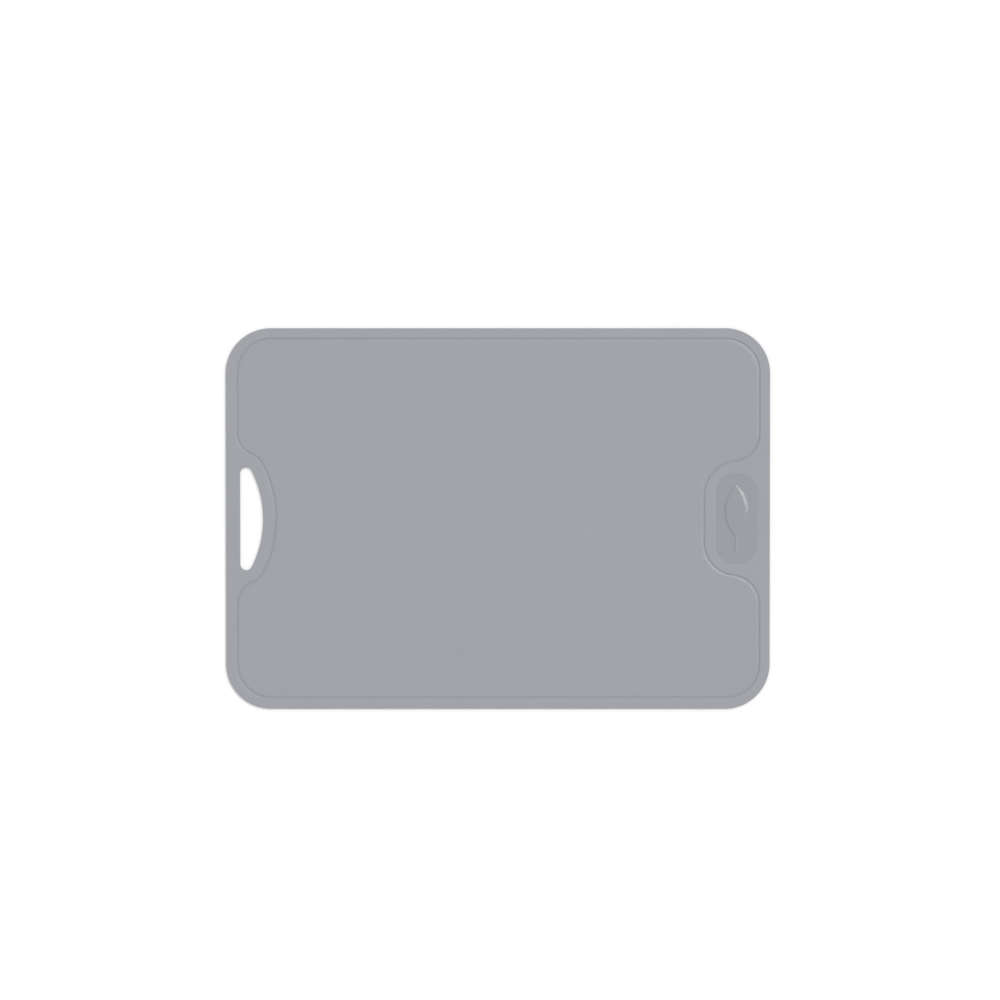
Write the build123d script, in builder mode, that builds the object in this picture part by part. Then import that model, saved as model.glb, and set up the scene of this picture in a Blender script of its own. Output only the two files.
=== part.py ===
from build123d import *
from math import acos, asin, cos, degrees, radians, sin
import os

# A flexible cutting mat that lies flat with its cutting face up. X runs along the mat from the
# hand opening to the badge, Y across it and Z up. The origin is on the worktop under its middle.
# Sizes are in millimetres and angles in degrees.

# Sheet
mat_length = 400.0
mat_width = 280.0
corner_radius = 33.0
sheet_thickness = 2.0
top_round = 0.5
bottom_round = 0.4

# Groove over the seam between the cutting panel and the rim
groove_inset = 7.95
panel_slope = 1.9
rim_slope = 1.2
groove_depth = 0.65

# Lap joint: the panel's flange runs under the rim
flange_reach = 2.2
flange_thickness = 1.0
seam_gap = 0.05

# Hand opening: a straight side beside the grip bar and a bellied side towards the panel
grip_bar_width = 10.4
opening_width = 17.0
belly_radius = 78.0
opening_end_radius = 4.5

# Bay of the groove round the hand opening
grip_bay_margin = 9.0
grip_shoulder_radius = 15.8
grip_shoulder_angle = 27.0
grip_bay_corner_radius = 18.2

# Badge plate in its pocket, and the raised leaf on it
badge_length = 66.9
badge_width = 29.9
badge_corner_radius = 14.0
badge_thickness = 1.0
badge_recess = 0.12
badge_edge_margin = 9.6
badge_gap = 0.05
pocket_slope = 2.2

# Bay of the groove round the badge
badge_bay_margin = 9.1
badge_bay_straight = 34.9
badge_shoulder_radius = 24.5
badge_bay_corner_radius = 21.2

# Leaf on the badge: a crowned pointed blade with a midrib, side veins and a stem
leaf_length = 39.0
leaf_width = 17.6
leaf_relief = 0.92
leaf_margin_height = 0.35
stem_length = 11.0
stem_width = 2.2
vein_width = 0.7
vein_depth = 0.3
vein_length = 9.0
vein_angle = 50.0
vein_pairs = 3

# Anti-slip feet let into the rim's underside
foot_width = 3.0
foot_inset = 3.1
foot_stand = 0.4
foot_seat = 0.6
foot_round = 0.2
foot_gap = 0.05
corner_foot_sweep = 60.0
edge_foot_length = 110.0
side_foot_length = 64.0

# Anti-slip dots let into the panel's underside
dot_diameter = 9.0
dot_margin = 20.0
dot_columns = 6
dot_rows = 5

# Levels
sheet_bottom = foot_stand
sheet_top = sheet_bottom + sheet_thickness
badge_top = sheet_top - badge_recess
pocket_floor = badge_top - badge_thickness
foot_height = foot_stand + foot_seat

# Places that the sizes above give
half_length = mat_length / 2
half_width = mat_width / 2
line_x = half_length - groove_inset
line_y = half_width - groove_inset
line_corner = corner_radius - groove_inset
grip_side_x = -half_length + grip_bar_width
belly_centre_x = grip_side_x + opening_width - belly_radius
grip_bay_radius = belly_radius + grip_bay_margin
badge_x = half_length - badge_edge_margin - badge_width / 2
badge_bay_x = badge_x - badge_width / 2 - badge_bay_margin
foot_line_x = half_length - foot_inset
foot_line_y = half_width - foot_inset
leaf_tip_y = (leaf_length + stem_length) / 2
leaf_base_y = leaf_tip_y - leaf_length

# Grip bay: the shoulder arc lies inside the belly's arc and meets the panel's corner arc
shoulder_reach = grip_bay_radius - grip_shoulder_radius
shoulder_x = belly_centre_x + shoulder_reach * cos(radians(grip_shoulder_angle))
shoulder_y = shoulder_reach * sin(radians(grip_shoulder_angle))
grip_corner_x = -line_x + grip_bay_corner_radius
grip_span = grip_shoulder_radius + grip_bay_corner_radius
grip_lean = degrees(asin((grip_corner_x - shoulder_x) / grip_span))
grip_corner_y = shoulder_y + grip_span * cos(radians(grip_lean))

# Badge bay: a straight side, a shoulder arc and the panel's corner arc
bay_shoulder_x = badge_bay_x + badge_shoulder_radius
bay_shoulder_y = badge_bay_straight / 2
bay_corner_x = line_x - badge_bay_corner_radius
bay_span = badge_shoulder_radius + badge_bay_corner_radius
bay_lean = degrees(asin((bay_shoulder_x - bay_corner_x) / bay_span))
bay_corner_y = bay_shoulder_y + bay_span * cos(radians(bay_lean))

os.makedirs("parts", exist_ok=True)


def panel_outline(grow):
    """The seam's line round the cutting panel, moved outwards by grow."""
    left = -line_x - grow
    right = line_x + grow
    top = line_y + grow
    corner = line_corner + grow
    bay_side = badge_bay_x + grow
    with BuildSketch() as outline:
        with BuildLine():
            # Belly, shoulder and panel corner of the grip bay
            CenterArc((belly_centre_x, 0), grip_bay_radius - grow, 0, grip_shoulder_angle)
            CenterArc(
                (shoulder_x, shoulder_y),
                grip_shoulder_radius - grow,
                grip_shoulder_angle,
                90 - grip_lean - grip_shoulder_angle,
            )
            CenterArc(
                (grip_corner_x, grip_corner_y),
                grip_bay_corner_radius + grow,
                270 - grip_lean,
                grip_lean - 90,
            )
            # Left, back and right sides with their corners
            Line((left, grip_corner_y), (left, top - corner))
            CenterArc((left + corner, top - corner), corner, 180, -90)
            Line((left + corner, top), (right - corner, top))
            CenterArc((right - corner, top - corner), corner, 90, -90)
            Line((right, top - corner), (right, bay_corner_y))
            # Panel corner, shoulder and straight side of the badge bay
            CenterArc(
                (bay_corner_x, bay_corner_y),
                badge_bay_corner_radius + grow,
                0,
                bay_lean - 90,
            )
            CenterArc(
                (bay_shoulder_x, bay_shoulder_y),
                badge_shoulder_radius - grow,
                90 + bay_lean,
                90 - bay_lean,
            )
            Line((bay_side, bay_shoulder_y), (bay_side, 0))
            mirror(about=Plane.XZ)
        make_face()
    return outline.sketch


def hand_opening():
    """The D-shaped opening for the fingers."""
    half_angle = degrees(acos((grip_side_x - belly_centre_x) / belly_radius))
    with BuildSketch() as opening:
        with BuildLine():
            belly = CenterArc((belly_centre_x, 0), belly_radius, -half_angle, 2 * half_angle)
            Line(belly @ 1, belly @ 0)
        make_face()
        fillet(opening.vertices(), opening_end_radius)
    return opening.sketch


def badge_outline(grow):
    """The badge plate's rounded outline, moved outwards by grow."""
    with BuildSketch() as outline:
        with Locations((badge_x, 0)):
            RectangleRounded(
                badge_width + 2 * grow,
                badge_length + 2 * grow,
                badge_corner_radius + grow,
            )
    return outline.sketch


def corner_strip(side_x, side_y, grow):
    """A curved foot's outline in the corner on that side of X and Y, grown all round."""
    radius = corner_radius - foot_inset
    middle = 45 if side_x * side_y > 0 else 135
    if side_y < 0:
        middle += 180
    centre = (side_x * (half_length - corner_radius), side_y * (half_width - corner_radius))
    with BuildLine() as path:
        CenterArc(centre, radius, middle - corner_foot_sweep / 2, corner_foot_sweep)
    with BuildSketch() as strip:
        SlotArc(path.edge(), foot_width + 2 * grow)
    return strip.sketch


def straight_strip(x, y, length, turn, grow):
    """A straight foot's outline about a point, turned from the X direction, grown all round."""
    with BuildSketch() as strip:
        with Locations((x, y)):
            SlotOverall(length + 2 * grow, foot_width + 2 * grow, rotation=turn)
    return strip.sketch


def foot_outlines(grow):
    """Every foot's name and outline, grown all round."""
    return {
        "corner_foot_front_left": corner_strip(-1, -1, grow),
        "corner_foot_front_right": corner_strip(1, -1, grow),
        "corner_foot_back_left": corner_strip(-1, 1, grow),
        "corner_foot_back_right": corner_strip(1, 1, grow),
        "edge_foot_front": straight_strip(0, -foot_line_y, edge_foot_length, 0, grow),
        "edge_foot_back": straight_strip(0, foot_line_y, edge_foot_length, 0, grow),
        "grip_foot": straight_strip(-foot_line_x, 0, side_foot_length, 90, grow),
        "badge_foot": straight_strip(foot_line_x, 0, side_foot_length, 90, grow),
    }


def dot_field(grow):
    """The grid of dots under the panel between the two bays, each grown all round."""
    field_left = belly_centre_x + grip_bay_radius + dot_margin
    field_right = badge_bay_x - dot_margin
    field_half_width = line_y - dot_margin
    pitch_x = (field_right - field_left) / (dot_columns - 1)
    pitch_y = 2 * field_half_width / (dot_rows - 1)
    with BuildSketch() as field:
        with Locations(((field_left + field_right) / 2, 0)):
            with GridLocations(pitch_x, pitch_y, dot_columns, dot_rows):
                Circle(dot_diameter / 2 + grow)
    return field.sketch


# Cutting panel: a full-thickness sheet up to the seam, on a thinner flange that runs past it
with BuildPart() as panel:
    with BuildSketch(Plane.XY.offset(sheet_bottom)):
        add(panel_outline(flange_reach))
    extrude(amount=flange_thickness)
    with BuildSketch(Plane.XY.offset(sheet_bottom)):
        add(panel_outline(-seam_gap / 2))
    extrude(amount=sheet_thickness)
    cutting_face = panel.faces().sort_by(Axis.Z)[-1]
    chamfer(cutting_face.edges(), panel_slope, groove_depth, reference=cutting_face)
    # Sockets of the dots
    with BuildSketch(Plane.XY.offset(sheet_bottom)):
        add(dot_field(foot_gap))
    extrude(amount=foot_seat, mode=Mode.SUBTRACT)
panel.part.label = "cutting_panel"
export_step(panel.part, "parts/cutting_panel.step")

# Soft rim: a frame round the panel that widens round the hand opening and the badge
with BuildPart() as rim:
    with BuildSketch(Plane.XY.offset(sheet_bottom)):
        RectangleRounded(mat_length, mat_width, corner_radius)
    extrude(amount=sheet_thickness)
    fillet(rim.edges().group_by(Axis.Z)[-1], top_round)
    fillet(rim.edges().group_by(Axis.Z)[0], bottom_round)
    # Hand opening, rounded where the fingers touch it
    with BuildSketch(Plane.XY.offset(sheet_bottom)):
        add(hand_opening())
    extrude(amount=sheet_thickness, mode=Mode.SUBTRACT)
    opening_edges = rim.edges(Select.LAST)
    fillet(opening_edges.group_by(Axis.Z)[-1], top_round)
    fillet(opening_edges.group_by(Axis.Z)[0], bottom_round)
    # The panel's place, and the rebate for its flange
    with BuildSketch(Plane.XY.offset(sheet_bottom)):
        add(panel_outline(seam_gap / 2))
    extrude(amount=sheet_thickness, mode=Mode.SUBTRACT)
    rim_face = rim.faces().sort_by(Axis.Z)[-1]
    groove_edges = rim.edges(Select.LAST).group_by(Axis.Z)[-1]
    chamfer(groove_edges, rim_slope, groove_depth, reference=rim_face)
    with BuildSketch(Plane.XY.offset(sheet_bottom)):
        add(panel_outline(flange_reach + seam_gap))
    extrude(amount=flange_thickness, mode=Mode.SUBTRACT)
    # Pocket of the badge, with a shallow slope down to the badge's face
    with BuildSketch(Plane.XY.offset(pocket_floor)):
        add(badge_outline(badge_gap))
    extrude(amount=badge_thickness + badge_recess, mode=Mode.SUBTRACT)
    rim_face = rim.faces().sort_by(Axis.Z)[-1]
    pocket_mouth = rim.edges(Select.LAST).group_by(Axis.Z)[-1]
    chamfer(pocket_mouth, pocket_slope, badge_recess, reference=rim_face)
    # Pockets of the feet
    with BuildSketch(Plane.XY.offset(sheet_bottom)):
        for pocket in foot_outlines(foot_gap).values():
            add(pocket)
    extrude(amount=foot_seat, mode=Mode.SUBTRACT)
rim.part.label = "soft_rim"
export_step(rim.part, "parts/soft_rim.step")

# Leaf: highest along its midrib and low at its margin, with grooves for the veins
with BuildPart() as leaf:
    with BuildSketch(Plane.XY.offset(badge_top)):
        with BuildLine():
            SagittaArc((badge_x, leaf_base_y), (badge_x, leaf_tip_y), leaf_width / 2)
            SagittaArc((badge_x, leaf_base_y), (badge_x, leaf_tip_y), -leaf_width / 2)
        make_face()
        with Locations((badge_x, leaf_base_y)):
            SlotOverall(2 * stem_length, stem_width, rotation=90)
    extrude(amount=leaf_relief)
    with BuildSketch(Plane.XZ):
        with BuildLine():
            crown = ThreePointArc(
                (badge_x - leaf_width / 2, badge_top + leaf_margin_height),
                (badge_x, badge_top + leaf_relief),
                (badge_x + leaf_width / 2, badge_top + leaf_margin_height),
            )
            Polyline(
                crown @ 0,
                (badge_x - leaf_width / 2, badge_top),
                (badge_x + leaf_width / 2, badge_top),
                crown @ 1,
            )
        make_face()
    extrude(amount=leaf_length, both=True, mode=Mode.INTERSECT)
    with BuildSketch(Plane.XY.offset(badge_top + leaf_relief)):
        with Locations((badge_x, (leaf_tip_y + leaf_base_y) / 2)):
            Rectangle(vein_width, leaf_length)
        for pair in range(vein_pairs):
            vein_y = leaf_base_y + leaf_length * (pair + 1) / (vein_pairs + 2)
            for side_angle in (vein_angle, 180 - vein_angle):
                with Locations(Location((badge_x, vein_y), side_angle)):
                    Rectangle(vein_length, vein_width, align=(Align.MIN, Align.CENTER))
    extrude(amount=-vein_depth, mode=Mode.SUBTRACT)

# Badge: a plate below the cutting face that carries the leaf
with BuildPart() as badge:
    with BuildSketch(Plane.XY.offset(pocket_floor)):
        add(badge_outline(0))
    extrude(amount=badge_thickness)
    add(leaf.part)
badge.part.label = "badge"
export_step(badge.part, "parts/badge.step")

# Feet: soft strips that fill their pockets and stand on the worktop
for name, outline in foot_outlines(0).items():
    with BuildPart() as foot:
        with BuildSketch():
            add(outline)
        extrude(amount=foot_height)
        fillet(foot.edges().group_by(Axis.Z)[0], foot_round)
    foot.part.label = name
    export_step(foot.part, f"parts/{name}.step")

# Dots: soft studs in their sockets under the panel
with BuildPart() as dots:
    with BuildSketch():
        add(dot_field(0))
    extrude(amount=foot_height)
    fillet(dots.edges().group_by(Axis.Z)[0], foot_round)
dots.part.label = "grip_dots"
export_step(dots.part, "parts/grip_dots.step")
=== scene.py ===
import math

import bmesh
import bpy
from bpy.props import FloatProperty, FloatVectorProperty, IntProperty, PointerProperty
from mathutils import Matrix, Vector


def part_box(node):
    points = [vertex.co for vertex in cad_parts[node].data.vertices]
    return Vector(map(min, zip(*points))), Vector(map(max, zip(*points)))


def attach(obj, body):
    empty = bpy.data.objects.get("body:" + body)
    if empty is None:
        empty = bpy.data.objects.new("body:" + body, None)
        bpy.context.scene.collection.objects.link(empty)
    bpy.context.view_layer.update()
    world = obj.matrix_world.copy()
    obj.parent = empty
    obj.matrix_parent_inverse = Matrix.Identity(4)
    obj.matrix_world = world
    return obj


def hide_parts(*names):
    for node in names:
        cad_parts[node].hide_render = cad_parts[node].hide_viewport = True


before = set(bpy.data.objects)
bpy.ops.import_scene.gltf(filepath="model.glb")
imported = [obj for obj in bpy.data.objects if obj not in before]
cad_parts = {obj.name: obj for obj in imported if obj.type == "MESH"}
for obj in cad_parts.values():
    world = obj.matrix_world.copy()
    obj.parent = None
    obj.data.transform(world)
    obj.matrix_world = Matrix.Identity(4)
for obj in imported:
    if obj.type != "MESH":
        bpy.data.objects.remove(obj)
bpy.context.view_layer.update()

bl_info = {
    "name": "Flexible cutting mat",
    "version": (1, 0, 0),
    "blender": (4, 5, 0),
    "location": "View3D > Sidebar > Cutting mat",
    "description": "A flexible cutting mat with a soft rim, a badge and anti-slip feet",
    "category": "Add Mesh",
}

MM = 0.001
BODY = "root"

# Levels and places that the frame gives
rim_low, rim_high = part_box("soft_rim")
badge_low, badge_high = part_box("badge")
grip_foot_low, grip_foot_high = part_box("grip_foot")
dots_low, dots_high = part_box("grip_dots")
HALF_LENGTH = rim_high.x
HALF_WIDTH = rim_high.y
SHEET_TOP = rim_high.z
SHEET_BOTTOM = rim_low.z
FOOT_TOP = grip_foot_high.z
BADGE_X = (badge_low.x + badge_high.x) / 2
FOOT_INSET = HALF_LENGTH + (grip_foot_low.x + grip_foot_high.x) / 2
FOOT_WIDTH = grip_foot_high.x - grip_foot_low.x
STRAIGHT_FEET = ("edge_foot_front", "edge_foot_back", "grip_foot", "badge_foot")
FEET = STRAIGHT_FEET + (
    "corner_foot_front_left",
    "corner_foot_front_right",
    "corner_foot_back_left",
    "corner_foot_back_right",
)

# Steps of the curves
CORNER_STEPS = 28
BELLY_STEPS = 18
SHOULDER_STEPS = 14
END_STEPS = 14
ROUND_STEPS = 6
FALL_STEPS = 9
DOT_STEPS = 32
LEAF_STEPS_ACROSS = 56
LEAF_STEPS_ALONG = 200
WELD = 0.0005 * MM
SHARP_ANGLE = math.radians(50)

# Shape of the leaf: how soon its crown rises with its width, and how tightly crown and bevels meet
CROWN_RISE = 0.4
BEVEL_MEETING = 8

# Noise of the finishes: octaves, their fall in strength, and the band that holds most values
CLOUD_DETAIL = 3.0
CLOUD_FALL = 0.55
CLOUD_BAND = (0.3, 0.7)
GRAIN_DETAIL = 2.0
GRAIN_FALL = 0.6
TONE_BAND = (0.6, 1.4)


def linear(code):
    """A colour written as sRGB hex, as the linear values that Blender works in."""
    parts = [int(code[i:i + 2], 16) / 255 for i in (1, 3, 5)]
    return tuple(p / 12.92 if p <= 0.04045 else ((p + 0.055) / 1.055) ** 2.4 for p in parts)


def length(name, description, default):
    """A length that a user can set, given in millimetres."""
    return FloatProperty(
        name=name, description=description, default=default * MM, min=0, precision=5,
        unit="LENGTH", subtype="DISTANCE",
    )


def angle(name, description, default):
    """An angle that a user can set, given in degrees."""
    return FloatProperty(
        name=name, description=description, default=math.radians(default),
        unit="ROTATION", subtype="ANGLE",
    )


def colour(name, description, default):
    """A colour that a user can set, given as sRGB hex."""
    return FloatVectorProperty(
        name=name, description=description, default=linear(default), size=3,
        min=0, max=1, subtype="COLOR",
    )


class MatSizes(bpy.types.PropertyGroup):
    """Sizes of the mat's rim, groove, openings and badge."""

    corner_radius: length("Corner radius", "Radius of the mat's corners", 33)
    top_round: length("Top round", "Rounding of the upper edges", 0.5)
    bottom_round: length("Bottom round", "Rounding of the lower edges", 0.4)
    groove_inset: length("Groove inset", "From the mat's edge to the seam", 7.95)
    panel_slope: length("Panel slope", "Width of the panel's slope down to the seam", 1.9)
    rim_slope: length("Rim slope", "Width of the rim's slope down to the seam", 1.2)
    groove_depth: length("Groove depth", "Depth of the groove at the seam", 0.65)
    seam_gap: length("Seam gap", "Gap between panel and rim in the groove", 0.05)
    flange_reach: length("Flange reach", "How far the panel's flange runs under the rim", 2.2)
    flange_thickness: length("Flange thickness", "Thickness of the panel's flange", 1.0)
    grip_bar_width: length("Grip bar", "From the mat's edge to the hand opening", 10.4)
    opening_width: length("Opening width", "Width of the hand opening", 17.0)
    belly_radius: length("Belly radius", "Radius of the hand opening's bellied side", 78.0)
    opening_end_radius: length("Opening ends", "Radius of the hand opening's ends", 4.5)
    grip_bay_margin: length("Grip margin", "From the hand opening to the seam", 9.0)
    grip_shoulder_radius: length("Grip shoulder", "Radius of the seam's shoulder there", 15.8)
    grip_shoulder_angle: angle("Grip shoulder angle", "Where the shoulder leaves the belly", 27)
    grip_corner_radius: length("Grip bay corner", "Radius of the panel's corner there", 18.2)
    badge_bay_margin: length("Badge margin", "From the badge to the seam", 9.1)
    badge_bay_straight: length("Badge bay side", "Straight part of the badge bay", 34.9)
    badge_shoulder_radius: length("Badge shoulder", "Radius of the seam's shoulder there", 24.5)
    badge_bay_corner: length("Badge bay corner", "Radius of the panel's corner there", 21.2)
    badge_corner_radius: length("Badge corner", "Radius of the badge's corners", 14.0)
    badge_recess: length("Badge recess", "Depth of the badge below the rim's face", 0.12)
    badge_round: length("Badge round", "Rounding of the badge's upper edge", 0.06)
    badge_gap: length("Badge gap", "Clearance round the badge", 0.02)
    pocket_slope: length("Pocket slope", "Width of the slope down to the badge", 2.2)
    fit: length("Fit", "Clearance round the feet and the dots", 0.05)
    corner_foot_sweep: angle("Corner foot", "Angle that each corner foot covers", 60)
    dot_diameter: length("Dot diameter", "Diameter of the dots under the panel", 9.0)
    dot_columns: IntProperty(name="Dot columns", description="Dots along the mat", default=6)
    dot_rows: IntProperty(name="Dot rows", description="Dots across the mat", default=5)


class LeafSizes(bpy.types.PropertyGroup):
    """Sizes of the leaf in relief on the badge."""

    blade_length: length("Blade length", "Length of the leaf's blade", 39.0)
    blade_width: length("Blade width", "Width of the leaf's blade", 17.6)
    crown_fall: FloatProperty(name="Crown fall", description="Part of its height that the "
                              "crown loses towards the margin", default=0.2, min=0, max=1,
                              subtype="FACTOR")
    broad_bevel: angle("Broad bevel", "Slope of the leaf's margin towards the mat's end", 17)
    steep_bevel: angle("Steep bevel", "Slope of the leaf's other margin", 40)
    root: length("Root", "How far the leaf is sunk into the badge", 0.1)
    stem_length: length("Stem length", "Length of the stem below the blade", 11.0)
    stem_width: length("Stem width", "Width of the stem", 2.2)
    tip_width: length("Tip width", "Width left at the leaf's ends", 0.3)
    vein_width: length("Vein width", "Width of the veins' grooves", 1.0)
    vein_depth: length("Vein depth", "Depth of the veins' grooves", 0.18)
    vein_angle: angle("Vein angle", "From across the leaf to a side vein", 42)
    vein_bend: length("Vein bend", "How far a side vein bends up at the margin", 1.5)
    vein_pairs: IntProperty(name="Vein pairs", description="Side veins on each side", default=3)


class MatColours(bpy.types.PropertyGroup):
    """Colours of the mat's plastics."""

    panel: colour("Panel", "Cutting panel", "#A2A4AA")
    rim: colour("Rim", "Soft rim", "#A2A4AA")
    badge: colour("Badge", "Badge and leaf", "#9C9FA4")
    feet: colour("Feet", "Anti-slip feet and dots", "#8E9095")


class StageSizes(bpy.types.PropertyGroup):
    """Camera, lamps and floor."""

    floor_colour: colour("Floor colour", "White paint of the floor", "#EDEDED")
    floor_lift: FloatProperty(name="Floor lift", description="Light added where the floor is seen, "
                              "which takes it to white", default=0.27, min=0, max=1)
    floor_roughness: FloatProperty(name="Floor roughness", description="Dullness of the paint",
                                   default=0.5, min=0, max=1, subtype="FACTOR")
    view_width: length("View width", "Width of the camera's view at the cutting face", 735.2)
    view_x: length("View x", "Middle of the view along the mat", 1.5)
    view_y: length("View y", "Middle of the view across the mat", 13.8)
    lens: FloatProperty(name="Lens", description="Focal length", default=100, unit="CAMERA")
    view_tilt: angle("View tilt", "How far the view leans towards the mat's back", 1.1)
    light_level: FloatProperty(name="Light level", description="What a white, dull face returns",
                               default=0.92, min=0, max=1, subtype="FACTOR")
    key_count: IntProperty(name="Key count", description="Main lamps, side by side", default=3)
    key_height: angle("Key height", "Height of the main lamps above the mat", 53)
    key_turn: angle("Key turn", "Direction of the middle lamp from the mat's length", 40)
    key_fan: angle("Key fan", "Turn from each main lamp to the next", 22)
    key_distance: length("Key distance", "From the mat to the main lamps", 2000)
    key_spread: angle("Key spread", "Angle that each main lamp fills, as seen from the mat", 22)
    key_share: FloatProperty(name="Key share", description="The main lamps' part of the light",
                             default=0.33, min=0, max=1, subtype="FACTOR")
    floor_size: length("Floor size", "Side of the floor", 9000)
    floor_drop: length("Floor drop", "How far the floor lies below the feet's own plane", 0.02)


def drawn(bm, draw, *values):
    """Draws an outline and returns its edges, with its ends welded."""
    known_edges = set(bm.edges)
    known_verts = set(bm.verts)
    draw(bm, *values)
    new_verts = [vert for vert in bm.verts if vert not in known_verts]
    bmesh.ops.remove_doubles(bm, verts=new_verts, dist=WELD)
    return [edge for edge in bm.edges if edge not in known_edges]


def start_at(bm, x, y, z):
    """The first point of an outline."""
    return bmesh.ops.create_vert(bm, co=(x, y, z))["vert"][0]


def line_to(bm, tip, x, y):
    """Draws a straight run from the tip and returns the new tip."""
    end = bmesh.ops.extrude_vert_indiv(bm, verts=[tip])["verts"][0]
    end.co = (x, y, tip.co.z)
    return end


def turn(bm, tip, x, y, sweep, steps):
    """Turns the tip about a point, counterclockwise for a positive sweep, and returns the new one."""
    made = bmesh.ops.spin(
        bm, geom=[tip], cent=(x, y, tip.co.z), axis=(0, 0, 1), angle=sweep, steps=steps,
    )
    return [item for item in made["geom_last"] if isinstance(item, bmesh.types.BMVert)][0]


def draw_rounded_rectangle(bm, x, half_x, half_y, radius, z):
    """A rectangle with round corners about a point on the X axis."""
    quarter = math.pi / 2
    tip = start_at(bm, x + half_x, -half_y + radius, z)
    tip = line_to(bm, tip, x + half_x, half_y - radius)
    tip = turn(bm, tip, x + half_x - radius, half_y - radius, quarter, CORNER_STEPS)
    tip = line_to(bm, tip, x - half_x + radius, half_y)
    tip = turn(bm, tip, x - half_x + radius, half_y - radius, quarter, CORNER_STEPS)
    tip = line_to(bm, tip, x - half_x, -half_y + radius)
    tip = turn(bm, tip, x - half_x + radius, -half_y + radius, quarter, CORNER_STEPS)
    tip = line_to(bm, tip, x + half_x - radius, -half_y)
    turn(bm, tip, x + half_x - radius, -half_y + radius, quarter, CORNER_STEPS)


def draw_mat_edge(bm, grow, z):
    """The mat's outer edge."""
    sizes = bpy.context.scene.mat_sizes
    draw_rounded_rectangle(
        bm, 0, HALF_LENGTH + grow, HALF_WIDTH + grow, sizes.corner_radius + grow, z
    )


def draw_badge_edge(bm, grow, z):
    """The badge's edge."""
    sizes = bpy.context.scene.mat_sizes
    half_x = (badge_high.x - badge_low.x) / 2 + grow
    draw_rounded_rectangle(
        bm, BADGE_X, half_x, badge_high.y + grow, sizes.badge_corner_radius + grow, z
    )


def belly_centre():
    """Where the hand opening's bellied side has its centre."""
    sizes = bpy.context.scene.mat_sizes
    return -HALF_LENGTH + sizes.grip_bar_width + sizes.opening_width - sizes.belly_radius


def draw_hand_opening(bm, grow, z):
    """The D-shaped hand opening."""
    sizes = bpy.context.scene.mat_sizes
    centre_x = belly_centre()
    side_x = -HALF_LENGTH + sizes.grip_bar_width
    end_x = side_x + sizes.opening_end_radius
    reach = sizes.belly_radius - sizes.opening_end_radius
    end_y = math.sqrt(reach ** 2 - (end_x - centre_x) ** 2)
    half_sweep = math.atan2(end_y, end_x - centre_x)
    belly = sizes.belly_radius + grow
    tip = start_at(
        bm, centre_x + belly * math.cos(half_sweep), -belly * math.sin(half_sweep), z
    )
    tip = turn(bm, tip, centre_x, 0, 2 * half_sweep, 2 * BELLY_STEPS)
    tip = turn(bm, tip, end_x, end_y, math.pi - half_sweep, END_STEPS)
    tip = line_to(bm, tip, side_x - grow, -end_y)
    turn(bm, tip, end_x, -end_y, math.pi - half_sweep, END_STEPS)


def draw_seam(bm, grow, z):
    """The seam between panel and rim: its back half, then the mirror image."""
    sizes = bpy.context.scene.mat_sizes
    known = set(bm.verts[:]) | set(bm.edges[:])
    quarter = math.pi / 2
    line_x = HALF_LENGTH - sizes.groove_inset
    line_y = HALF_WIDTH - sizes.groove_inset
    corner = sizes.corner_radius - sizes.groove_inset
    # Grip bay
    centre_x = belly_centre()
    belly = sizes.belly_radius + sizes.grip_bay_margin
    start = sizes.grip_shoulder_angle
    shoulder_x = centre_x + (belly - sizes.grip_shoulder_radius) * math.cos(start)
    shoulder_y = (belly - sizes.grip_shoulder_radius) * math.sin(start)
    corner_x = -line_x + sizes.grip_corner_radius
    span = sizes.grip_shoulder_radius + sizes.grip_corner_radius
    lean = math.asin((corner_x - shoulder_x) / span)
    corner_y = shoulder_y + span * math.cos(lean)
    tip = start_at(bm, centre_x + belly - grow, 0, z)
    tip = turn(bm, tip, centre_x, 0, start, BELLY_STEPS)
    tip = turn(bm, tip, shoulder_x, shoulder_y, quarter - lean - start, SHOULDER_STEPS)
    tip = turn(bm, tip, corner_x, corner_y, lean - quarter, SHOULDER_STEPS)
    # Left, back and right sides
    tip = line_to(bm, tip, -line_x - grow, line_y - corner)
    tip = turn(bm, tip, -line_x + corner, line_y - corner, -quarter, CORNER_STEPS)
    tip = line_to(bm, tip, line_x - corner, line_y + grow)
    tip = turn(bm, tip, line_x - corner, line_y - corner, -quarter, CORNER_STEPS)
    # Badge bay
    bay_x = badge_low.x - sizes.badge_bay_margin
    shoulder_x = bay_x + sizes.badge_shoulder_radius
    shoulder_y = sizes.badge_bay_straight / 2
    corner_x = line_x - sizes.badge_bay_corner
    span = sizes.badge_shoulder_radius + sizes.badge_bay_corner
    lean = math.asin((shoulder_x - corner_x) / span)
    corner_y = shoulder_y + span * math.cos(lean)
    tip = line_to(bm, tip, line_x + grow, corner_y)
    tip = turn(bm, tip, corner_x, corner_y, lean - quarter, SHOULDER_STEPS)
    tip = turn(bm, tip, shoulder_x, shoulder_y, quarter - lean, SHOULDER_STEPS)
    line_to(bm, tip, bay_x + grow, 0)
    half = [item for item in bm.verts[:] + bm.edges[:] if item not in known]
    bmesh.ops.mirror(bm, geom=half, axis="Y", merge_dist=WELD)


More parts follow.
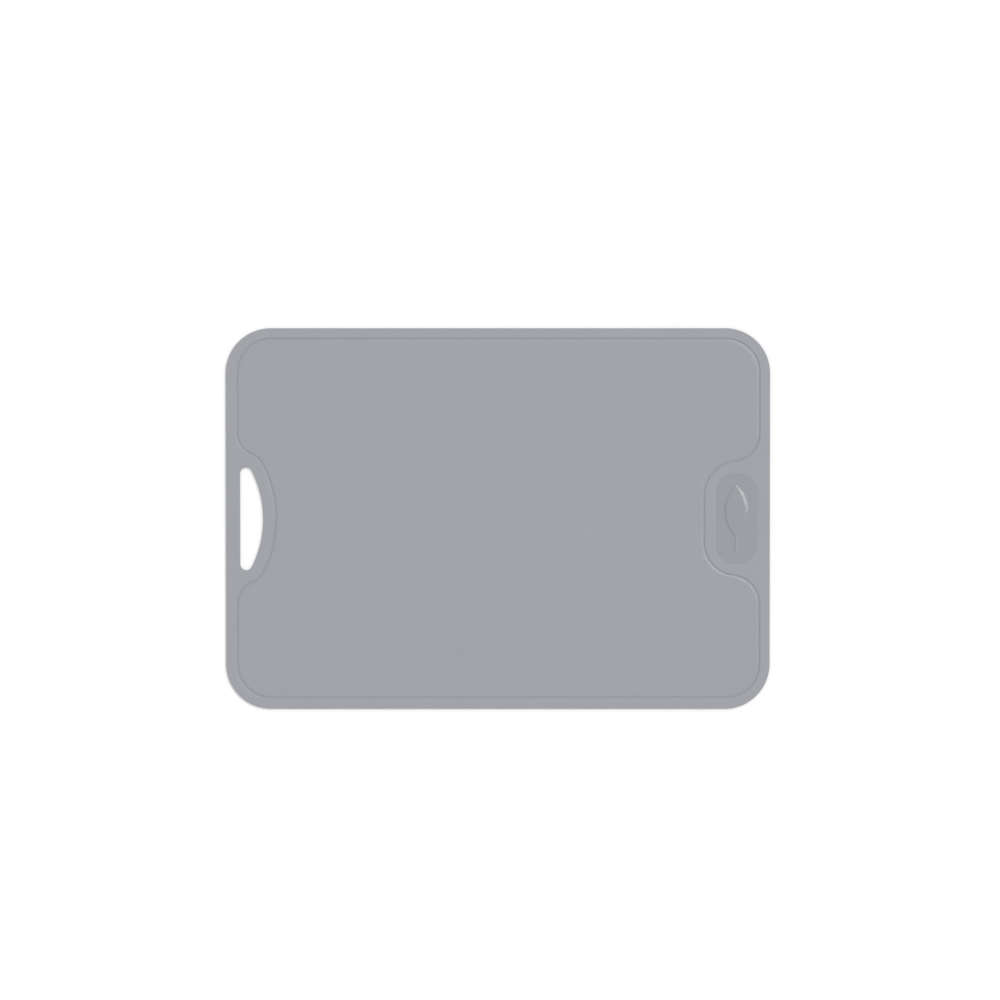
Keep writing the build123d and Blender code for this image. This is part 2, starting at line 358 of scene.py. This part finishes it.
def draw_straight_pocket(bm, low, high, grow, z):
    """A slot round a straight foot, from the foot's box."""
    middle_x, middle_y = (low.x + high.x) / 2, (low.y + high.y) / 2
    half_x, half_y = (high.x - low.x) / 2 + grow, (high.y - low.y) / 2 + grow
    radius = min(half_x, half_y)
    along_x, along_y = half_x - radius, half_y - radius
    side = Vector((radius, 0)) if along_y > 0 else Vector((0, -radius))
    reach = Vector((along_x, along_y))
    middle = Vector((middle_x, middle_y))
    tip = start_at(bm, *(middle - reach + side), z)
    tip = line_to(bm, tip, *(middle + reach + side))
    tip = turn(bm, tip, *(middle + reach), math.pi, END_STEPS)
    tip = line_to(bm, tip, *(middle - reach - side))
    turn(bm, tip, *(middle - reach), math.pi, END_STEPS)


def draw_corner_pocket(bm, side_x, side_y, grow, z):
    """A curved slot round a corner foot."""
    sizes = bpy.context.scene.mat_sizes
    x = side_x * (HALF_LENGTH - sizes.corner_radius)
    y = side_y * (HALF_WIDTH - sizes.corner_radius)
    middle = math.atan2(side_y, side_x)
    sweep = sizes.corner_foot_sweep
    radius = sizes.corner_radius - FOOT_INSET
    half = FOOT_WIDTH / 2 + grow
    first = Vector((math.cos(middle - sweep / 2), math.sin(middle - sweep / 2)))
    last = Vector((math.cos(middle + sweep / 2), math.sin(middle + sweep / 2)))
    centre = Vector((x, y))
    tip = start_at(bm, *(centre + first * (radius + half)), z)
    tip = turn(bm, tip, x, y, sweep, CORNER_STEPS)
    tip = turn(bm, tip, *(centre + last * radius), math.pi, END_STEPS)
    tip = turn(bm, tip, x, y, -sweep, CORNER_STEPS)
    turn(bm, tip, *(centre + first * radius), math.pi, END_STEPS)


def draw_dot(bm, x, y, radius, z):
    """A round socket's edge."""
    bmesh.ops.create_circle(
        bm, radius=radius, segments=DOT_STEPS, matrix=Matrix.Translation((x, y, z))
    )


def wall(bm, draw, profile):
    """Joins the outlines that a profile of growth and height gives; returns the first and last."""
    rings = [drawn(bm, draw, grow, z) for grow, z in profile]
    for ring, following in zip(rings, rings[1:]):
        bmesh.ops.bridge_loops(bm, edges=ring + following)
    return rings[0], rings[-1]


def rounded_wall(into, top, bottom, top_round, bottom_round):
    """A wall's profile with rounded edges; into is -1 where the material is inside the outline."""
    turns = [math.pi / 2 * step / ROUND_STEPS for step in range(ROUND_STEPS + 1)]
    upper = [
        (into * top_round * (1 - math.sin(a)), top - top_round * (1 - math.cos(a))) for a in turns
    ]
    lower = [
        (into * bottom_round * (1 - math.cos(a)), bottom + bottom_round * (1 - math.sin(a)))
        for a in turns
    ]
    return upper + lower


def smooth_fall(start, end, top, depth):
    """A profile that runs down in a smooth S from the face, over the growth from start to end."""
    profile = []
    for step in range(FALL_STEPS + 1):
        share = step / FALL_STEPS
        fall = (1 - math.cos(math.pi * share)) / 2
        profile.append((start + (end - start) * share, top - depth * fall))
    return profile


def pocket(bm, ring, depth):
    """Sinks a pocket up from a ring of edges in the underside and closes its floor."""
    drawn_up = bmesh.ops.extrude_edge_only(bm, edges=ring)["geom"]
    verts = [item for item in drawn_up if isinstance(item, bmesh.types.BMVert)]
    edges = [
        item for item in drawn_up
        if isinstance(item, bmesh.types.BMEdge) and all(v in verts for v in item.verts)
    ]
    bmesh.ops.translate(bm, verts=verts, vec=(0, 0, depth))
    bmesh.ops.edgeloop_fill(bm, edges=edges)


def fill(bm, rings):
    """Closes the flat face between rings."""
    edges = [edge for ring in rings for edge in ring]
    bmesh.ops.triangle_fill(bm, edges=edges, use_beauty=True)


def finished(bm, name, node, material):
    """Closes off a piece: checks it, gives it its finish and puts it in the node's place."""
    bmesh.ops.recalc_face_normals(bm, faces=bm.faces)
    open_edges = [edge for edge in bm.edges if len(edge.link_faces) != 2]
    if open_edges:
        raise RuntimeError(f"{name} has {len(open_edges)} edges without two faces")
    mesh = bpy.data.meshes.new(name)
    bm.to_mesh(mesh)
    bm.free()
    mesh.shade_smooth()
    mesh.set_sharp_from_angle(angle=SHARP_ANGLE)
    mesh.materials.append(material)
    piece = bpy.data.objects.new(name, mesh)
    bpy.context.scene.collection.objects.link(piece)
    even = piece.modifiers.new("even_shading", "WEIGHTED_NORMAL")
    even.mode = "FACE_AREA"
    even.keep_sharp = True
    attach(piece, BODY)
    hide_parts(node)
    return piece


def add_node(material, kind, settings=None, inputs=None):
    """Adds a node with its settings; an input is a value or the output that feeds it."""
    tree = material.node_tree
    made = tree.nodes.new(kind)
    for name, value in (settings or {}).items():
        setattr(made, name, value)
    for name, value in (inputs or {}).items():
        if isinstance(value, bpy.types.NodeSocket):
            tree.links.new(value, made.inputs[name])
        else:
            made.inputs[name].default_value = value
    return made


def moulded(name, base, roughness, ior, grain, grain_height, mottle, cloud, unevenness):
    """A moulded plastic: a grain from the tool's face, and faint clouds in tone and in gloss."""
    material = bpy.data.materials.new(name)
    material.use_nodes = True
    material.node_tree.nodes.clear()
    place = add_node(material, "ShaderNodeTexCoord").outputs["Object"]
    clouds = add_node(
        material, "ShaderNodeTexNoise", {"noise_dimensions": "3D"},
        {"Vector": place, "Scale": 1 / cloud, "Detail": CLOUD_DETAIL, "Roughness": CLOUD_FALL},
    )
    grains = add_node(
        material, "ShaderNodeTexNoise", {"noise_dimensions": "3D"},
        {"Vector": place, "Scale": 1 / grain, "Detail": GRAIN_DETAIL, "Roughness": GRAIN_FALL},
    )
    both = add_node(
        material, "ShaderNodeMath", {"operation": "ADD"},
        {0: clouds.outputs["Fac"], 1: grains.outputs["Fac"]},
    )
    tone = add_node(
        material, "ShaderNodeMapRange", {},
        {
            "Value": both.outputs[0],
            "From Min": TONE_BAND[0],
            "From Max": TONE_BAND[1],
            "To Min": 1 - mottle,
            "To Max": 1 + mottle,
        },
    )
    shade = add_node(
        material, "ShaderNodeVectorMath", {"operation": "SCALE"},
        {0: base, "Scale": tone.outputs["Result"]},
    )
    gloss = add_node(
        material, "ShaderNodeMapRange", {},
        {
            "Value": clouds.outputs["Fac"],
            "From Min": CLOUD_BAND[0],
            "From Max": CLOUD_BAND[1],
            "To Min": roughness - unevenness,
            "To Max": roughness + unevenness,
        },
    )
    relief = add_node(
        material, "ShaderNodeBump", {},
        {"Height": grains.outputs["Fac"], "Strength": 1.0, "Distance": grain_height},
    )
    plastic = add_node(
        material, "ShaderNodeBsdfPrincipled", {},
        {
            "Base Color": shade.outputs["Vector"],
            "Roughness": gloss.outputs["Result"],
            "IOR": ior,
            "Normal": relief.outputs["Normal"],
        },
    )
    add_node(material, "ShaderNodeOutputMaterial", {}, {"Surface": plastic.outputs["BSDF"]})
    return material


def moulded_polypropylene():
    """Polypropylene moulded on a spark-eroded tool: an even, dull face with a faint fine grain."""
    # The grain of the real face is finer than a pixel, so it is drawn coarser, to show close up
    return moulded(
        "moulded_polypropylene", bpy.context.scene.mat_colours.panel, roughness=0.3, ior=1.49,
        grain=1.1 * MM, grain_height=0.006 * MM, mottle=0.018, cloud=45 * MM, unevenness=0.02,
    )


def moulded_elastomer():
    """Thermoplastic elastomer moulded on a finer grain: softer in gloss than the panel."""
    # Drawn coarser than it is, as on the panel
    return moulded(
        "moulded_elastomer", bpy.context.scene.mat_colours.rim, roughness=0.36, ior=1.5,
        grain=0.9 * MM, grain_height=0.005 * MM, mottle=0.015, cloud=30 * MM, unevenness=0.02,
    )


def polished_plastic():
    """Plastic moulded on a polished tool: glossy, with a slight ripple that bends reflections."""
    return moulded(
        "polished_plastic", bpy.context.scene.mat_colours.badge, roughness=0.14, ior=1.5,
        grain=5 * MM, grain_height=0.01 * MM, mottle=0.008, cloud=15 * MM, unevenness=0.02,
    )


def grip_elastomer():
    """Soft elastomer of the feet: darker and duller, with a coarse grain that bites the worktop."""
    return moulded(
        "grip_elastomer", bpy.context.scene.mat_colours.feet, roughness=0.78, ior=1.5,
        grain=0.35 * MM, grain_height=0.02 * MM, mottle=0.03, cloud=8 * MM, unevenness=0.05,
    )


def leaf_half_width(y, leaf, base_y, blade_y):
    """Half the leaf's width at a height, stem and blade joined; blade_y is the blade's middle."""
    half_length, half_width = leaf.blade_length / 2, leaf.blade_width / 2
    radius = (half_length ** 2 + half_width ** 2) / (2 * half_width)
    away = y - blade_y
    blade = max(0, math.sqrt(max(0, radius ** 2 - away ** 2)) - (radius - half_width))
    if y > blade_y:
        return max(blade, leaf.tip_width / 2)
    half_stem = leaf.stem_width / 2
    from_end = min(max(0, y - base_y + leaf.stem_length), half_stem)
    stem = max(leaf.tip_width / 2, math.sqrt(half_stem ** 2 - (half_stem - from_end) ** 2))
    joined = (blade + stem + math.sqrt((blade - stem) ** 2 + (leaf.tip_width * 2) ** 2)) / 2
    return joined if blade > 0 else stem


def leaf_height(across, y, x, half_width, leaf, relief, base_y):
    """Height of the leaf's face: a crown between two bevels, with grooves for the veins."""
    fullness = min(1, 2 * half_width / leaf.blade_width) ** CROWN_RISE
    crown = relief * fullness * (1 - leaf.crown_fall * across ** 2)
    broad = half_width * max(WELD, 1 - across) * math.tan(leaf.broad_bevel)
    steep = half_width * max(WELD, 1 + across) * math.tan(leaf.steep_bevel)
    face = sum(part ** -BEVEL_MEETING for part in (crown, broad, steep)) ** (-1 / BEVEL_MEETING)
    groove = math.exp(-(2 * x / leaf.vein_width) ** 2) if y > base_y else 0
    for pair in range(leaf.vein_pairs):
        vein_y = base_y + leaf.blade_length * (pair + 1) / (leaf.vein_pairs + 2)
        vein_y += abs(x) * math.tan(leaf.vein_angle) + leaf.vein_bend * across ** 2
        off = (y - vein_y) * math.cos(leaf.vein_angle)
        groove = max(groove, math.exp(-(2 * off / leaf.vein_width) ** 2) * (1 - across ** 4))
    return face * (1 - leaf.vein_depth / relief * groove)


def add_leaf(bm, top):
    """Adds the leaf to the badge's mesh, rooted just below the plate's face."""
    leaf = bpy.context.scene.leaf_sizes
    relief = badge_high.z - top
    tip_y = (leaf.blade_length + leaf.stem_length) / 2
    base_y = tip_y - leaf.blade_length
    stem_y = base_y - leaf.stem_length
    blade_y = base_y + leaf.blade_length / 2
    grid = bmesh.ops.create_grid(
        bm, x_segments=LEAF_STEPS_ACROSS, y_segments=LEAF_STEPS_ALONG, size=1
    )["verts"]
    for vert in grid:
        across = math.sin(math.pi / 2 * vert.co.x)
        y = stem_y + (tip_y - stem_y) * (1 + vert.co.y) / 2
        half_width = leaf_half_width(y, leaf, base_y, blade_y)
        x = across * half_width
        height = leaf_height(across, y, x, half_width, leaf, relief, base_y)
        vert.co = (BADGE_X + x, y, top + height)
    faces = {face for vert in grid for face in vert.link_faces}
    rim = [edge for face in faces for edge in face.edges if len(edge.link_faces) == 1]
    root = bmesh.ops.extrude_edge_only(bm, edges=list(set(rim)))["geom"]
    root_verts = [item for item in root if isinstance(item, bmesh.types.BMVert)]
    for vert in root_verts:
        vert.co.z = top - leaf.root
    root_edges = [
        item for item in root
        if isinstance(item, bmesh.types.BMEdge) and all(v in root_verts for v in item.verts)
    ]
    bmesh.ops.edgeloop_fill(bm, edges=root_edges)


class CUTTINGMAT_OT_panel(bpy.types.Operator):
    """Makes the cutting panel, with its flange under the rim and the sockets of its dots."""

    bl_idname = "cutting_mat.panel"
    bl_label = "Cutting panel"

    def execute(self, context):
        sizes = context.scene.mat_sizes
        flange_top = SHEET_BOTTOM + sizes.flange_thickness
        bm = bmesh.new()
        seam = -sizes.seam_gap / 2
        slope = smooth_fall(seam - sizes.panel_slope, seam, SHEET_TOP, sizes.groove_depth)
        face, step = wall(bm, draw_seam, slope + [(seam, flange_top)])
        flange = [(sizes.flange_reach, flange_top), (sizes.flange_reach, SHEET_BOTTOM)]
        flange_edge, underside = wall(bm, draw_seam, flange)
        radius = sizes.dot_diameter / 2
        step_x = (dots_high.x - dots_low.x - sizes.dot_diameter) / (sizes.dot_columns - 1)
        step_y = (dots_high.y - dots_low.y - sizes.dot_diameter) / (sizes.dot_rows - 1)
        sockets = []
        for column in range(sizes.dot_columns):
            for row in range(sizes.dot_rows):
                x = dots_low.x + radius + column * step_x
                y = dots_low.y + radius + row * step_y
                sockets.append(drawn(bm, draw_dot, x, y, radius + sizes.fit, SHEET_BOTTOM))
        fill(bm, [face])
        fill(bm, [step, flange_edge])
        fill(bm, [underside] + sockets)
        for socket in sockets:
            pocket(bm, socket, dots_high.z - SHEET_BOTTOM)
        plastic = moulded_polypropylene()
        finished(bm, "cutting_panel_face", "cutting_panel", plastic)
        return {"FINISHED"}


class CUTTINGMAT_OT_rim(bpy.types.Operator):
    """Makes the soft rim, with the hand opening, the badge's pocket and the feet's pockets."""

    bl_idname = "cutting_mat.rim"
    bl_label = "Soft rim"

    def execute(self, context):
        sizes = context.scene.mat_sizes
        flange_top = SHEET_BOTTOM + sizes.flange_thickness
        bm = bmesh.new()
        rounds = (SHEET_TOP, SHEET_BOTTOM, sizes.top_round, sizes.bottom_round)
        edge_top, edge_bottom = wall(bm, draw_mat_edge, rounded_wall(-1, *rounds))
        hand_top, hand_bottom = wall(bm, draw_hand_opening, rounded_wall(1, *rounds))
        seam = sizes.seam_gap / 2
        slope = smooth_fall(seam + sizes.rim_slope, seam, SHEET_TOP, sizes.groove_depth)
        seam_top, step = wall(bm, draw_seam, slope + [(seam, flange_top)])
        reach = sizes.flange_reach + sizes.seam_gap
        rebate = [(reach, flange_top), (reach, SHEET_BOTTOM)]
        rebate_edge, seam_bottom = wall(bm, draw_seam, rebate)
        gap = sizes.badge_gap
        mouth = smooth_fall(sizes.pocket_slope, gap, SHEET_TOP, sizes.badge_recess)
        mouth_top, floor = wall(bm, draw_badge_edge, mouth + [(gap, badge_low.z)])
        pockets = [
            drawn(bm, draw_straight_pocket, *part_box(name), sizes.fit, SHEET_BOTTOM)
            for name in STRAIGHT_FEET
        ]
        pockets += [
            drawn(bm, draw_corner_pocket, side_x, side_y, sizes.fit, SHEET_BOTTOM)
            for side_x in (-1, 1)
            for side_y in (-1, 1)
        ]
        fill(bm, [edge_top, hand_top, seam_top, mouth_top])
        fill(bm, [step, rebate_edge])
        fill(bm, [edge_bottom, hand_bottom, seam_bottom] + pockets)
        fill(bm, [floor])
        for ring in pockets:
            pocket(bm, ring, FOOT_TOP - SHEET_BOTTOM)
        finished(bm, "soft_rim_frame", "soft_rim", moulded_elastomer())
        return {"FINISHED"}


class CUTTINGMAT_OT_badge(bpy.types.Operator):
    """Makes the badge: a glossy plate in its pocket with a leaf in relief."""

    bl_idname = "cutting_mat.badge"
    bl_label = "Badge"

    def execute(self, context):
        sizes = context.scene.mat_sizes
        top = SHEET_TOP - sizes.badge_recess
        bm = bmesh.new()
        profile = rounded_wall(-1, top, badge_low.z, sizes.badge_round, sizes.badge_round)
        face, underside = wall(bm, draw_badge_edge, profile)
        fill(bm, [face])
        fill(bm, [underside])
        add_leaf(bm, top)
        finished(bm, "badge_plate", "badge", polished_plastic())
        return {"FINISHED"}


class CUTTINGMAT_OT_feet(bpy.types.Operator):
    """Gives the feet and the dots their finish."""

    bl_idname = "cutting_mat.feet"
    bl_label = "Feet and dots"

    def execute(self, context):
        rubber = grip_elastomer()
        for name in FEET + ("grip_dots",):
            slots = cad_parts[name].material_slots
            for item in slots:
                item.material = rubber
            if not slots:
                raise RuntimeError(f"{name} has no material slot")
        return {"FINISHED"}


def shown_as_background(material):
    """One where the camera, a reflection or a view through glass meets the surface, else zero."""
    rays = add_node(material, "ShaderNodeLightPath")
    seen = add_node(
        material, "ShaderNodeMath", {"operation": "MAXIMUM"},
        {0: rays.outputs["Is Camera Ray"], 1: rays.outputs["Is Glossy Ray"]},
    )
    return add_node(
        material, "ShaderNodeMath", {"operation": "MAXIMUM"},
        {0: seen.outputs[0], 1: rays.outputs["Is Transmission Ray"]},
    ).outputs[0]


def floor_paint():
    """White painted floor: dull, and lifted to white where it is seen, so only the shadow shows."""
    stage = bpy.context.scene.mat_stage
    material = bpy.data.materials.new("floor_paint")
    material.use_nodes = True
    material.node_tree.nodes.clear()
    seen = shown_as_background(material)
    paint = add_node(
        material, "ShaderNodeBsdfDiffuse", {},
        {"Color": (*stage.floor_colour, 1), "Roughness": stage.floor_roughness},
    )
    lift = add_node(
        material, "ShaderNodeMath", {"operation": "MULTIPLY"}, {0: seen, 1: stage.floor_lift}
    )
    glow = add_node(
        material, "ShaderNodeEmission", {},
        {"Color": (1, 1, 1, 1), "Strength": lift.outputs[0]},
    )
    both = add_node(
        material, "ShaderNodeAddShader", {}, {0: paint.outputs[0], 1: glow.outputs[0]}
    )
    add_node(material, "ShaderNodeOutputMaterial", {}, {"Surface": both.outputs[0]})
    return material


def light_the_world(ambient):
    """Even studio light from all round, seen as white."""
    world = bpy.data.worlds.new("studio")
    bpy.context.scene.world = world
    world.use_nodes = True
    world.node_tree.nodes.clear()
    seen = shown_as_background(world)
    strength = add_node(
        world, "ShaderNodeMapRange", {}, {"Value": seen, "To Min": ambient, "To Max": 1.0}
    )
    sky = add_node(
        world, "ShaderNodeBackground", {},
        {"Color": (1, 1, 1, 1), "Strength": strength.outputs["Result"]},
    )
    add_node(world, "ShaderNodeOutputWorld", {}, {"Surface": sky.outputs[0]})


class CUTTINGMAT_OT_stage(bpy.types.Operator):
    """Makes the floor, the lamps and the camera."""

    bl_idname = "cutting_mat.stage"
    bl_label = "Stage"

    def execute(self, context):
        stage = context.scene.mat_stage
        bm = bmesh.new()
        bmesh.ops.create_grid(bm, x_segments=1, y_segments=1, size=stage.floor_size / 2)
        mesh = bpy.data.meshes.new("floor")
        bm.to_mesh(mesh)
        bm.free()
        mesh.materials.append(floor_paint())
        floor = bpy.data.objects.new("floor", mesh)
        floor.location.z = -stage.floor_drop
        context.scene.collection.objects.link(floor)

        light_the_world(stage.light_level * (1 - stage.key_share))
        # A white face that lies flat returns the key's share, shared out between its lamps
        key_level = stage.light_level * stage.key_share / stage.key_count
        for place in range(stage.key_count):
            turned = stage.key_turn + (place - (stage.key_count - 1) / 2) * stage.key_fan
            towards = Vector((
                math.cos(stage.key_height) * math.cos(turned),
                math.cos(stage.key_height) * math.sin(turned),
                math.sin(stage.key_height),
            ))
            lamp = bpy.data.lights.new(f"key_lamp_{place + 1}", "SUN")
            lamp.angle = stage.key_spread
            lamp.energy = key_level * math.pi / math.sin(stage.key_height)
            key = bpy.data.objects.new(lamp.name, lamp)
            key.location = towards * stage.key_distance
            key.rotation_euler = towards.to_track_quat("Z", "Y").to_euler()
            context.scene.collection.objects.link(key)

        lens = bpy.data.cameras.new("camera")
        lens.lens = stage.lens
        camera = bpy.data.objects.new("camera", lens)
        distance = stage.view_width * lens.lens / lens.sensor_width
        away = Vector((0, math.sin(stage.view_tilt), math.cos(stage.view_tilt)))
        camera.location = Vector((stage.view_x, stage.view_y, SHEET_TOP)) + away * distance
        camera.rotation_euler = (-stage.view_tilt, 0, 0)
        context.scene.collection.objects.link(camera)
        context.scene.camera = camera
        context.scene.view_settings.view_transform = "Standard"
        return {"FINISHED"}


class CUTTINGMAT_PT_sidebar(bpy.types.Panel):
    """Lists the mat's pieces and their sizes."""

    bl_idname = "CUTTINGMAT_PT_sidebar"
    bl_label = "Cutting mat"
    bl_space_type = "VIEW_3D"
    bl_region_type = "UI"
    bl_category = "Cutting mat"

    def draw(self, context):
        scene = context.scene
        for operator in OPERATORS:
            self.layout.operator(operator.bl_idname)
        for group in (scene.mat_sizes, scene.leaf_sizes, scene.mat_colours, scene.mat_stage):
            box = self.layout.box()
            for name in group.__annotations__:
                box.prop(group, name)


OPERATORS = (
    CUTTINGMAT_OT_panel,
    CUTTINGMAT_OT_rim,
    CUTTINGMAT_OT_badge,
    CUTTINGMAT_OT_feet,
    CUTTINGMAT_OT_stage,
)
GROUPS = {
    "mat_sizes": MatSizes,
    "leaf_sizes": LeafSizes,
    "mat_colours": MatColours,
    "mat_stage": StageSizes,
}


def register():
    for group in GROUPS.values():
        bpy.utils.register_class(group)
    for name, group in GROUPS.items():
        setattr(bpy.types.Scene, name, PointerProperty(type=group))
    for made in OPERATORS + (CUTTINGMAT_PT_sidebar,):
        bpy.utils.register_class(made)


def unregister():
    for made in OPERATORS + (CUTTINGMAT_PT_sidebar,):
        bpy.utils.unregister_class(made)
    for name, group in GROUPS.items():
        delattr(bpy.types.Scene, name)
        bpy.utils.unregister_class(group)


def main():
    """Makes the mat piece by piece, then its stage."""
    register()
    bpy.ops.cutting_mat.stage()
    bpy.ops.cutting_mat.panel()
    bpy.ops.cutting_mat.rim()
    bpy.ops.cutting_mat.badge()
    bpy.ops.cutting_mat.feet()


if __name__ == "__main__":
    main()
